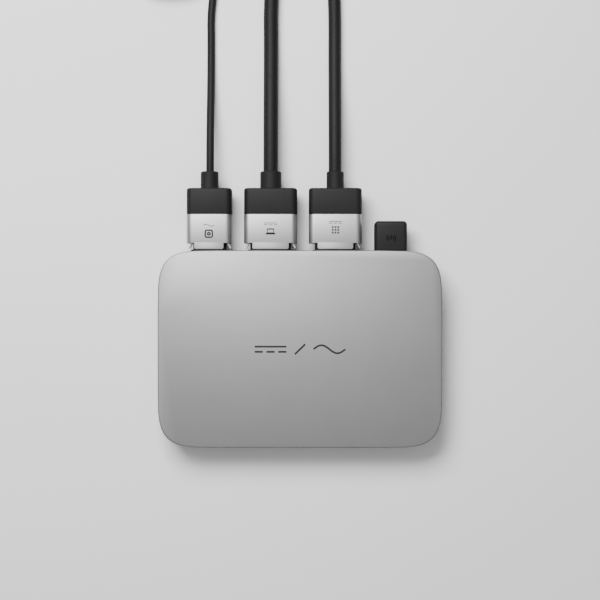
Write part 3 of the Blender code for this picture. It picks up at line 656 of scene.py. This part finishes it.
def mains_plug_pieces():
    """The round grip with its ribbed tail, its face and its two pins."""
    tail = on_coil("ac", 66.5, 0.0395, 0.0268)
    place = facing(tail, (-1, 0, 0.262))
    grip = [(0.0, 0.0040), (0.0004, 0.0050)]
    for rib in range(5):
        at = 0.0012 + rib * 0.0034
        swell = 0.0051 + rib * 0.00022
        waist = swell - 0.0007
        grip += [(at, swell), (at + 0.0018, swell), (at + 0.0021, waist), (at + 0.0030, waist)]
    grip += [(0.0185, 0.0062), (0.0200, 0.0078), (0.0240, 0.0094), (0.0300, 0.0116), (0.0360, 0.0138)]
    grip += [(0.0400, 0.0153), (0.0440, 0.0172), (0.0460, 0.0180), (0.0475, 0.0184), (0.0492, 0.0183)]
    grip += [(0.0499, 0.0177), (0.0500, 0.0165), (0.0488, 0.0162), (0.0488, 0.0020)]
    body = piece("mains_plug_grip", turned(grip, 48, place), "ac_plug", finishes["overmould"])
    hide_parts("mains_plug")
    made = [body]
    for index, x in enumerate((-0.0095, 0.0095), 1):
        root = place @ Matrix.Translation((x, 0, 0))
        sleeve = [(0.0470, 0.00205), (0.0575, 0.00205), (0.0577, 0.0019)]
        pin = [(0.0480, 0.0019), (0.0580, 0.0024), (0.0668, 0.0024), (0.0684, 0.0018), (0.0690, 0.0008)]
        parts = ((f"mains_pin_sleeve_{index}", sleeve, "overmould"), (f"mains_pin_{index}", pin, "brass"))
        for name, profile, finish in parts:
            if finish == "overmould":
                profile = [(h, r + 0.0005) for h, r in profile]
            made.append(piece(name, turned(profile, 24, root), "ac_plug", finishes[finish]))
    return made


def stacked_sections(steps, place, radius):
    rings = []
    for distance, width, height in steps:
        outline = rounded_rectangle(width, height, min(radius, height / 2 - 1e-5))
        rings.append([place @ Vector((a, b, distance)) for a, b in outline])
    return lofted(rings)


def battery_connector_pieces():
    """A flat two-pole connector with a grip section, a collar and two plated sockets."""
    tail = on_coil("battery", BATTERY_TAIL, 0.0630, 0.0205)
    turn = math.radians(BATTERY_TAIL + 90)
    place = facing(tail, (math.cos(turn), math.sin(turn), 0))
    steps = [(0.0, 0.0132, 0.0132), (0.0004, 0.0140, 0.0140), (0.009, 0.0160, 0.0145)]
    steps += [(0.0120, 0.0250, 0.0148), (0.0132, 0.0276, 0.0150), (0.0180, 0.0280, 0.0150)]
    for rib in range(6):
        at = 0.0200 + rib * 0.0030
        steps += [(at, 0.0280, 0.0150), (at + 0.0004, 0.0272, 0.0142)]
        steps += [(at + 0.0014, 0.0272, 0.0142), (at + 0.0018, 0.0280, 0.0150)]
    steps += [(0.0495, 0.0280, 0.0150), (0.0500, 0.0274, 0.0144), (0.0504, 0.0240, 0.0126)]
    steps += [(0.0576, 0.0240, 0.0126), (0.0580, 0.0234, 0.0120)]
    mesh = stacked_sections(steps, place, 0.0028)
    body = piece("battery_connector_body", mesh, "battery_plug", finishes["overmould"])
    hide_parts("battery_connector")
    made = [body]
    for index, x in enumerate((-0.0058, 0.0058), 1):
        root = place @ Matrix.Translation((x, 0, 0))
        socket = [(0.0570, 0.0040), (0.0584, 0.0040), (0.0584, 0.0030), (0.0574, 0.0029)]
        mesh = turned(socket, 32, root)
        made.append(piece(f"battery_pole_{index}", mesh, "battery_plug", finishes["brass"]))
    return made


def solar_end_pieces():
    """The splitter and, on each lead, a round connector with a ribbed gland nut."""
    start = on_coil("solar", 0, 0.0569, 0.0174)
    steps = [(0.0, 0.0118, 0.0112), (0.0005, 0.0125, 0.0120), (0.006, 0.0140, 0.0120)]
    steps += [(0.012, 0.0210, 0.0120), (0.018, 0.0266, 0.0120), (0.021, 0.0270, 0.0120)]
    steps += [(0.0280, 0.0270, 0.0120), (0.0286, 0.0262, 0.0112)]
    mesh = stacked_sections(steps, facing(start, (0, 1, 0)), 0.0034)
    splitter = piece("solar_splitter_body", mesh, "solar_plug", finishes["overmould"])
    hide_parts("solar_splitter")
    nut = [(0.0, 0.0036), (0.0004, 0.0042), (0.0040, 0.0052), (0.0048, 0.0062)]
    barrel = [(0.0052, 0.0066), (0.0100, 0.0079), (0.0104, 0.0080), (0.0180, 0.0080), (0.0184, 0.0076)]
    barrel += [(0.0192, 0.0076), (0.0196, 0.0080), (0.0296, 0.0080), (0.0300, 0.0077), (0.0304, 0.0063)]
    nose = [(0.0340, 0.0062), (0.0344, 0.0066), (0.0362, 0.0066), (0.0366, 0.0060)]
    nose += [(0.0514, 0.0058), (0.0520, 0.0052)]
    leads = []
    for index, route in LEADS.items():
        points = smooth_route([on_coil("solar", *point) for point in route], LEAD_DIAMETER * 0.8)
        tail = points[-1] + Vector((0.0006, 0, 0))
        mesh = turned(nut + barrel + nose, 40, facing(tail, (1, 0, 0)))
        name = f"solar_connector_body_{index}"
        plug = piece(name, mesh, "solar_plug", finishes["overmould"])
        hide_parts(f"solar_connector_{index}")
        whole = [points[0] + Vector((0, -LEAD_TUCK, 0))] + points
        line = cord_curve(f"solar_lead_line_{index}", whole, LEAD_DIAMETER, "solar_plug")
        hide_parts(f"solar_lead_{index}")
        leads.append((line, plug, points))
    return splitter, leads


TIE_PLACES = {"ac": (250, 3), "battery": (330, 1), "solar": (200, 1)}


def make_cords():
    """Each plug's cord at its whole length, wound into its coil, with what is on its end."""
    splitter, leads = solar_end_pieces()
    ends = {"ac": mains_plug_pieces(), "battery": battery_connector_pieces(), "solar": [splitter]}
    for name in PLUGS:
        points = cord_path(name)
        line = cord_curve(f"{name}_cord_line", points, CORD_DIAMETERS[name], f"{name}_plug")
        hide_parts(f"{name}_cord", f"{name}_coil")
        tie = coil_tie(name, *TIE_PLACES[name])
        ends[name] + [tie]
    for line, plug, points in leads:
        length = path_length(points) + LEAD_TUCK
        points[0] + Vector((0, -LEAD_TUCK, 0))


# ---------------------------------------------------------------- front of the housing


def wave(low_x, high_x, height, steps=40):
    points = []
    for step in range(steps + 1):
        share = step / steps
        points.append((low_x + (high_x - low_x) * share, height * math.sin(2 * math.pi * share)))
    return points


def shifted(points, x, y):
    return [(x + a, y + b) for a, b in points]


def make_front_mark():
    """Direct current on the left, alternating current on the right, and a slanting stroke between."""
    stroke = 1.6 * MM
    low, high = FRONT_Z - 0.1 * MM, FRONT_Z + 0.06 * MM
    left, right = -38.5 * MM, 38.5 * MM
    lines = [[(left, 2.2 * MM), (left + 27 * MM, 2.2 * MM)]]
    for dash in range(3):
        start = left + dash * 10 * MM
        lines.append([(start, -2.2 * MM), (start + 7 * MM, -2.2 * MM)])
    lines.append([(-4.4 * MM, -4.25 * MM), (4.4 * MM, 4.25 * MM)])
    lines.append(wave(right - 27 * MM, right, 3.4 * MM))
    mark = joined([ribbon(points, stroke, low, high) for points in lines])
    piece("front_mark", mark, "housing", finishes["ink"])


# ---------------------------------------------------------------- plugs

SHOULDER_Y = 90.3 * MM
SPLIT_Y = 115.0 * MM
REAR_Y = 137.4 * MM
GLAND_END_Y = 152.1 * MM
TONGUE_WIDTHS = {"ac": 25.0 * MM, "battery": 31.0 * MM, "solar": 30.3 * MM}
GLAND_DIAMETERS = {"ac": 14.6 * MM, "battery": 17.5 * MM, "solar": 14.1 * MM}
PLUG_CORNER = 5.2 * MM
SHELL_WALL = 1.3 * MM
SHELL_EDGE = 0.25 * MM
REAR_ROUND = 1.9 * MM
GLAND_ROUND = 1.5 * MM
STRIP_THICKNESS = 0.9 * MM
PRINT_RISE = 0.04 * MM
PRINT_SINK = 0.05 * MM

# Each plug's shift in x from its solid, and how much wider than its solid it is
ROOM = {"ac": (-0.4 * MM, 0.4 * MM), "battery": (0.0, 1.1 * MM), "solar": (0.1 * MM, 1.0 * MM)}


def plug_middle(name):
    """Middle x and z, width and height of a plug: its solid's outline, moved and widened by ROOM."""
    low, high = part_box(f"{name}_plug_overmould")
    aside, wider = ROOM[name]
    return (low.x + high.x) / 2 + aside, (low.z + high.z) / 2, high.x - low.x + wider, high.z - low.z


def make_shell(name):
    """A drawn metal sleeve, rounded all over, with a tongue that reaches over the nose."""
    x, z, width, height = plug_middle(name)
    nose_low, nose_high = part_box(f"{name}_plug_nose")
    mouth = (nose_high.x - nose_low.x + 5 * MM, nose_high.z - nose_low.z + 0.8 * MM)
    corner = PLUG_CORNER
    wall = SHELL_WALL
    rings = [sleeve_ring(*mouth, 2 * MM, SHOULDER_Y + wall, x, z)]
    rings.append(sleeve_ring(*mouth, 2 * MM, SHOULDER_Y, x, z))
    for inset, rise in reversed(quarter_round(SHELL_EDGE, 3)):
        size = (width - 2 * inset, height - 2 * inset)
        rings.append(sleeve_ring(*size, corner - inset, SHOULDER_Y + SHELL_EDGE - rise, x, z))
    for inset, rise in quarter_round(SHELL_EDGE, 3):
        size = (width - 2 * inset, height - 2 * inset)
        rings.append(sleeve_ring(*size, corner - inset, SPLIT_Y - SHELL_EDGE + rise, x, z))
    inner = (width - 2 * wall, height - 2 * wall)
    rings.append(sleeve_ring(*inner, corner - wall, SPLIT_Y, x, z))
    rings.append(sleeve_ring(*inner, corner - wall, SHOULDER_Y + wall, x, z))
    sleeve = lofted(rings, around=True)
    tongues = []
    for side in (1, -1):
        face = z + side * (height / 2 + 0.01 * MM)
        tongues.append(make_tongue(x, face, side, TONGUE_WIDTHS[name]))
    mesh = joined([sleeve] + tongues)
    made = piece(f"{name}_shell_sleeve", mesh, f"{name}_plug", finishes["shell"])
    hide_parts(f"{name}_plug_shell")


def make_tongue(x, face, side, width):
    """A plate from the sleeve to just short of the housing, with round front corners."""
    front_y, rear_y = 85.1 * MM, SHOULDER_Y + 0.6 * MM
    corner = 1.7 * MM
    rings = []
    for inset, rise in ((0.0, -1.7), (0.0, -0.25), (0.08, -0.08), (0.25, 0.0)):
        inset = inset * MM
        outline = [(x + width / 2 - inset, rear_y)]
        for sign in (1, -1):
            turns = range(7) if sign > 0 else range(6, -1, -1)
            for step in turns:
                turn = math.pi / 2 * step / 6
                across = width / 2 - corner + (corner - inset) * math.cos(turn)
                outline.append((x + sign * across, front_y + corner - (corner - inset) * math.sin(turn)))
        outline.append((x - width / 2 + inset, rear_y))
        rings.append([Vector((a, b, face + side * rise * MM)) for a, b in outline])
    return lofted(rings)


def make_overmould(name):
    """The moulded rear half: rounded along its length and softer at its rear corners."""
    x, z, width, height = plug_middle(name)
    corner = PLUG_CORNER
    front = SPLIT_Y + 0.3 * MM
    core = (width - 8 * MM, height - 5 * MM)
    rings = [sleeve_ring(*core, 2 * MM, front - 8 * MM, x, z), sleeve_ring(*core, 2 * MM, front, x, z)]
    for inset, rise in reversed(quarter_round(0.35 * MM, 3)):
        size = (width - 2 * inset, height - 2 * inset)
        rings.append(sleeve_ring(*size, corner - inset, front + 0.35 * MM - rise, x, z))
    for inset, rise in quarter_round(REAR_ROUND, 7):
        size = (width - 2 * inset, height - 2 * inset)
        y = REAR_Y - REAR_ROUND + rise
        rings.append(sleeve_ring(*size, max(corner - inset, 1.4 * MM), y, x, z))
    mesh = lofted(rings)
    made = piece(f"{name}_overmould_body", mesh, f"{name}_plug", finishes["overmould"])
    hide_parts(f"{name}_plug_overmould")
    radius = GLAND_DIAMETERS[name] / 2 + 0.4 * MM
    cord = CORD_DIAMETERS[name] / 2
    profile = [(REAR_Y - 0.4 * MM, radius + 0.5 * MM), (REAR_Y + 0.5 * MM, radius + 0.1 * MM)]
    profile += [(REAR_Y + 0.9 * MM, radius)]
    for inset, rise in quarter_round(GLAND_ROUND, 6):
        profile.append((GLAND_END_Y - GLAND_ROUND + rise, radius - inset))
    profile += [(GLAND_END_Y, cord + 0.3 * MM), (GLAND_END_Y - 1.0 * MM, cord + 0.02 * MM)]
    mesh = turned(profile, 56, facing((x, 0, z), (0, 1, 0)))
    gland = piece(f"{name}_gland_sleeve", mesh, f"{name}_plug", finishes["seal"])
    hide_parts(f"{name}_gland")


def make_latches(name):
    """Bright spring strips on both sides of the nose, flared towards the housing."""
    for side, word in ((-1, "left"), (1, "right")):
        node_name = f"{name}_latch_{word}"
        low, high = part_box(node_name)
        inner = low.x if side > 0 else high.x
        line = [(inner + side * 0.55 * MM, 98.4 * MM), (inner + side * 0.55 * MM, 90.9 * MM)]
        for step in range(1, 9):
            share = step / 8
            out = 0.55 + 2.4 * share**1.25
            line.append((inner + side * out * MM, (90.9 - 4.7 * share) * MM))
        strip = ribbon(line, STRIP_THICKNESS, low.z, high.z + 2.5 * MM)
        made = piece(f"{name}_latch_strip_{word}", strip, node_name, finishes["spring"], 50)
        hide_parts(node_name)


def printed(name, lines, width, top, body, finish="etch", closed=()):
    """Thin printed strokes on an upward face."""
    low, high = top - PRINT_SINK, top + PRINT_RISE
    parts = [ribbon(points, width, low, high) for points in lines]
    parts += [ribbon(points, width, low, high, closed=True) for points in closed]
    piece(name, joined(parts), body, finishes[finish])


def circle(x, y, radius, steps=36):
    turns = [2 * math.pi * step / steps for step in range(steps)]
    return [(x + radius * math.cos(turn), y + radius * math.sin(turn)) for turn in turns]


def make_plug_marks():
    """Generic marks for mains, battery and panel, each with its kind of current behind it."""
    bold, fine = 1.4 * MM, 0.6 * MM
    tops = {name: plug_middle(name)[1] + plug_middle(name)[3] / 2 for name in PLUGS}
    x, y = plug_middle("ac")[0], 98.2 * MM
    frame_line = [(x + a, y + b) for a, b in rounded_rectangle(6.0 * MM, 6.0 * MM, 1.2 * MM, 4)]
    lines = [shifted(wave(-4.6 * MM, 4.6 * MM, 0.8 * MM, 24), x, 105.5 * MM)]
    printed("ac_current_mark", lines, fine, tops["ac"], "ac_plug", "faint")
    closed = [frame_line, circle(x, y, 1.05 * MM)]
    printed("ac_plug_mark", [], bold, tops["ac"], "ac_plug", closed=closed)
    x = plug_middle("battery")[0]
    case = [(-2.7, 98.8), (2.7, 98.8), (2.7, 102.2), (-2.7, 102.2)]
    lines = [[(x - 4.2 * MM, 98.2 * MM), (x + 4.2 * MM, 98.2 * MM)]]
    closed = [[(x + a * MM, b * MM) for a, b in case]]
    printed("battery_plug_mark", lines, bold, tops["battery"], "battery_plug", closed=closed)
    lines = current_mark(x, 106.6 * MM)
    printed("battery_current_mark", lines, fine, tops["battery"], "battery_plug", "faint")
    x = plug_middle("solar")[0]
    lines = current_mark(x, 107.9 * MM)
    printed("solar_current_mark", lines, fine, tops["solar"], "solar_plug", "faint")
    cells = []
    for row in (-1, 0, 1):
        for column in (-1, 0, 1):
            cx, cy = x + column * 2.35 * MM, (101.5 + row * 2.35) * MM
            cells.append([(cx - 0.8 * MM, cy), (cx + 0.8 * MM, cy)])
    printed("solar_plug_grid", cells, 1.6 * MM, tops["solar"], "solar_plug")


def current_mark(x, y):
    """A solid line over three dashes."""
    lines = [[(x - 5.5 * MM, y + 0.75 * MM), (x + 5.5 * MM, y + 0.75 * MM)]]
    for dash in (-1, 0, 1):
        middle = x + dash * 4.1 * MM
        lines.append([(middle - 1.4 * MM, y - 0.75 * MM), (middle + 1.4 * MM, y - 0.75 * MM)])
    return lines


# ---------------------------------------------------------------- aerial cap


def make_cap():
    """The aerial's cover: a rounded block whose far edge rolls over, with a wireless mark."""
    low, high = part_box("antenna_cap")
    x, z = (low.x + high.x) / 2 + 0.6 * MM, (low.z + high.z) / 2
    width, height = high.x - low.x, high.z - low.z
    far = high.y + 0.5 * MM
    corner = 3.3 * MM
    wall = 1.8 * MM
    inner = (width - 2 * wall, height - 2 * wall)
    rings = [sleeve_ring(*inner, 1.6 * MM, y, x, z) for y in (far - wall, low.y)]
    for inset, rise in reversed(quarter_round(0.3 * MM, 3)):
        size = (width - 2 * inset, height - 2 * inset)
        rings.append(sleeve_ring(*size, corner - inset, low.y + 0.3 * MM - rise, x, z))
    soft = 3.1 * MM
    for inset, rise in quarter_round(soft, 9):
        size = (width - 2 * inset, height - 2 * inset)
        rings.append(sleeve_ring(*size, max(corner - inset, 0.9 * MM), far - soft + rise, x, z))
    made = piece("aerial_cap_body", lofted(rings), "housing", finishes["plastic"])
    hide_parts("antenna_cap")
    y = 94.6 * MM
    lines = [[(x, y - 1.2 * MM), (x, y + 2.9 * MM)]]
    for radius in (2.0, 3.7):
        for side in (0, 180):
            turns = [math.radians(side - 42 + 84 * step / 14) for step in range(15)]
            lines.append([(x + radius * MM * math.cos(t), y + radius * MM * math.sin(t)) for t in turns])
    printed("aerial_mark", lines, 0.7 * MM, high.z, "housing", "cap_ink")


# ---------------------------------------------------------------- carried-over solids

SLOT_FINISHES = {
    "housing_metal": "housing",
    "plug_metal": "shell",
    "spring_steel": "spring",
    "screw_steel": "screw",
    "black_plastic": "plastic",
    "plug_black": "overmould",
    "seal_rubber": "seal",
    "cord_black": "jacket",
    "light_pipe": "light",
    "contact_alloy": "brass",
    "copper_winding": "copper",
    "circuit_board": "board",
    "ferrite": "ferrite",
    "film_capacitor": "film",
    "component_black": "relay",
    "thermal_filler": "filler",
    "shield_metal": "tin",
}


def finish_solids():
    """Gives every CAD solid that still shows its finish, smooth round faces and crisp edges."""
    for entry in frame["record"]["subparts"]:
        solid = nodes[entry["node"]]
        if solid.hide_render:
            continue
        solid.data.materials.clear()
        solid.data.materials.append(finishes[SLOT_FINISHES[entry["material_slot"]]])
        solid.data.shade_smooth()
        weld = solid.modifiers.new("weld", "WELD")
        weld.merge_threshold = 0.02 * MM
        split = solid.modifiers.new("crisp_edges", "EDGE_SPLIT")
        split.split_angle = math.radians(SPLIT_ANGLE)


make_camera()
finishes = make_finishes()
make_cords()
make_floor()
make_light()
make_front_mark()
for plug in PLUGS:
    make_shell(plug)
    make_overmould(plug)
    make_latches(plug)
make_plug_marks()
make_cap()
finish_solids()
